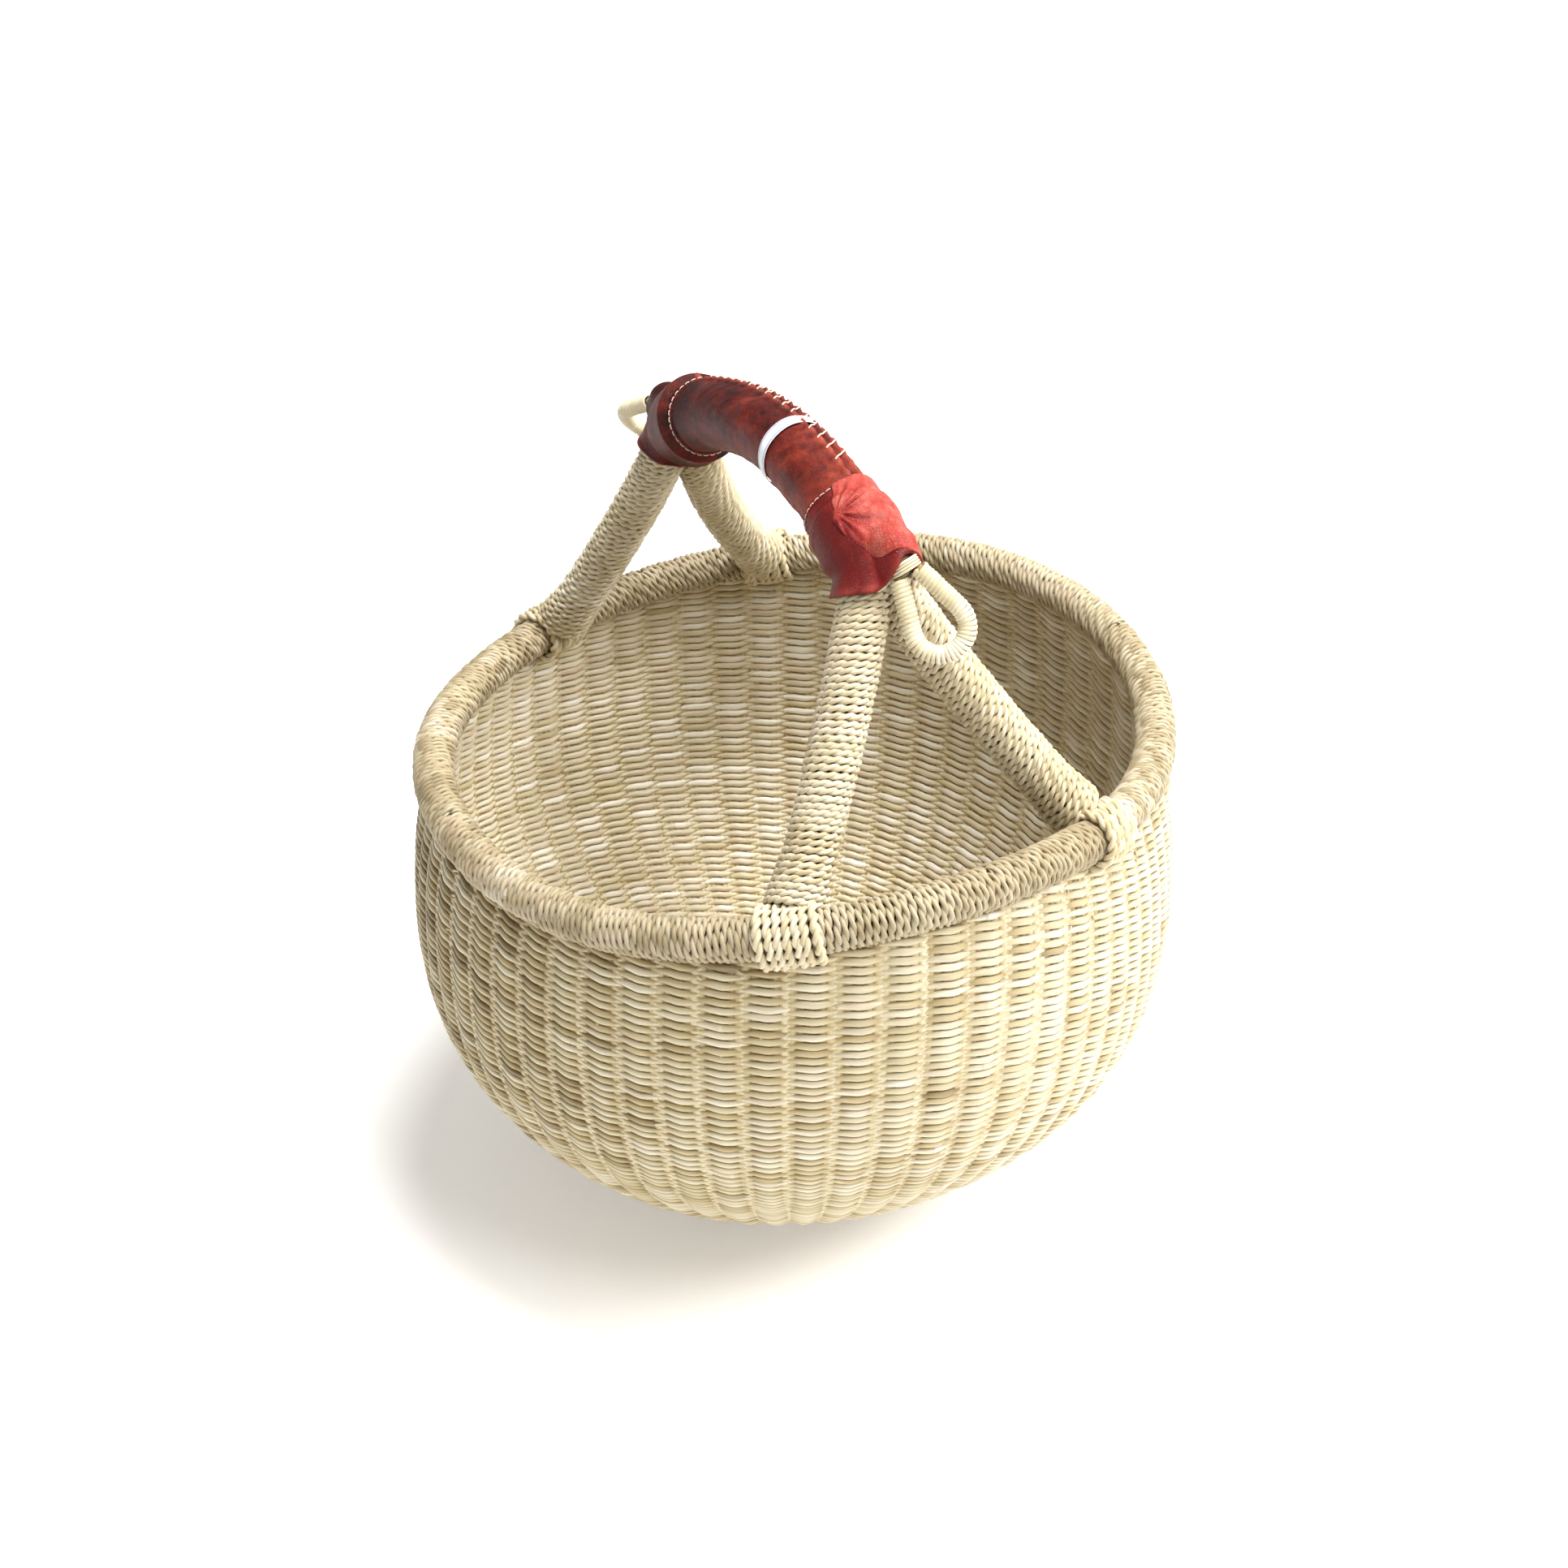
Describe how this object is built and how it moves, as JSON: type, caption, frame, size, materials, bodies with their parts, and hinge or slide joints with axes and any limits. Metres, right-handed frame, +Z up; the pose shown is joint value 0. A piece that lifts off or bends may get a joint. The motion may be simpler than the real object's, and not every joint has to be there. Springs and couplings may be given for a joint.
{
  "type": "woven market basket",
  "caption": "Round straw basket with a wrapped rim, a four-legged wrapped handle, a leather grip and two small hanging loops.",
  "frame": {"origin": "on the floor under the middle of the round base", "axes": "+Z up through the opening, X along the arch of the handle, Y across it"},
  "size_m": [0.3758, 0.3567, 0.3804],
  "materials": {
    "straw_weave": "twined straw, matt",
    "straw_stakes": "straw bundles, matt",
    "grass_core": "dry grass bundle",
    "straw_cord": "two-ply straw cord, matt",
    "lashing_cord": "two-ply straw cord, matt",
    "loop_straw": "flat straw winding, slight sheen",
    "leather_brown_red": "creased dyed goat leather",
    "leather_red": "creased dyed goat leather",
    "thread": "waxed thread",
    "ribbon": "woven ribbon"
  },
  "bodies": {
    "basket": {"base_weave": "straw_weave", "base_spokes": "straw_stakes", "wall_stakes": "straw_stakes", "lower_wall_weave": "straw_weave", "middle_wall_weave": "straw_weave", "upper_wall_weave": "straw_weave", "rim_core": "grass_core", "rim_wrap": "straw_cord", "right_front_leg_core": "grass_core", "right_front_leg_wrap": "straw_cord", "right_back_leg_core": "grass_core", "right_back_leg_wrap": "straw_cord", "left_front_leg_core": "grass_core", "left_front_leg_wrap": "straw_cord", "left_back_leg_core": "grass_core", "left_back_leg_wrap": "straw_cord", "right_front_lashing": "lashing_cord", "right_back_lashing": "lashing_cord", "left_front_lashing": "lashing_cord", "left_back_lashing": "lashing_cord", "grip_core": "grass_core", "grip_padding": "straw_cord", "grip_leather": "leather_brown_red", "right_cuff": "leather_red", "left_cuff": "leather_brown_red", "seam_lacing": "thread", "right_cuff_stitch": "thread", "left_cuff_stitch": "thread", "label_band": "ribbon", "right_loop_seat": "loop_straw", "left_loop_seat": "loop_straw"},
    "right_loop": {"right_loop_core": "grass_core", "right_loop_wrap": "loop_straw", "right_loop_knot": "loop_straw"},
    "left_loop": {"left_loop_core": "grass_core", "left_loop_wrap": "loop_straw", "left_loop_knot": "loop_straw"}
  },
  "joints": [
    {"name": "right_loop_swing", "type": "hinge", "parent": "basket", "child": "right_loop", "pos_m": [0.11427, -0.00502, 0.34913], "axis": [-0.2417, -0.8344, -0.4953], "range_deg": [0, 90]},
    {"name": "left_loop_swing", "type": "hinge", "parent": "basket", "child": "left_loop", "pos_m": [-0.12172, -0.0127, 0.33519], "axis": [0.4191, 0.7609, -0.4953], "range_deg": [0, 90]}
  ]
}
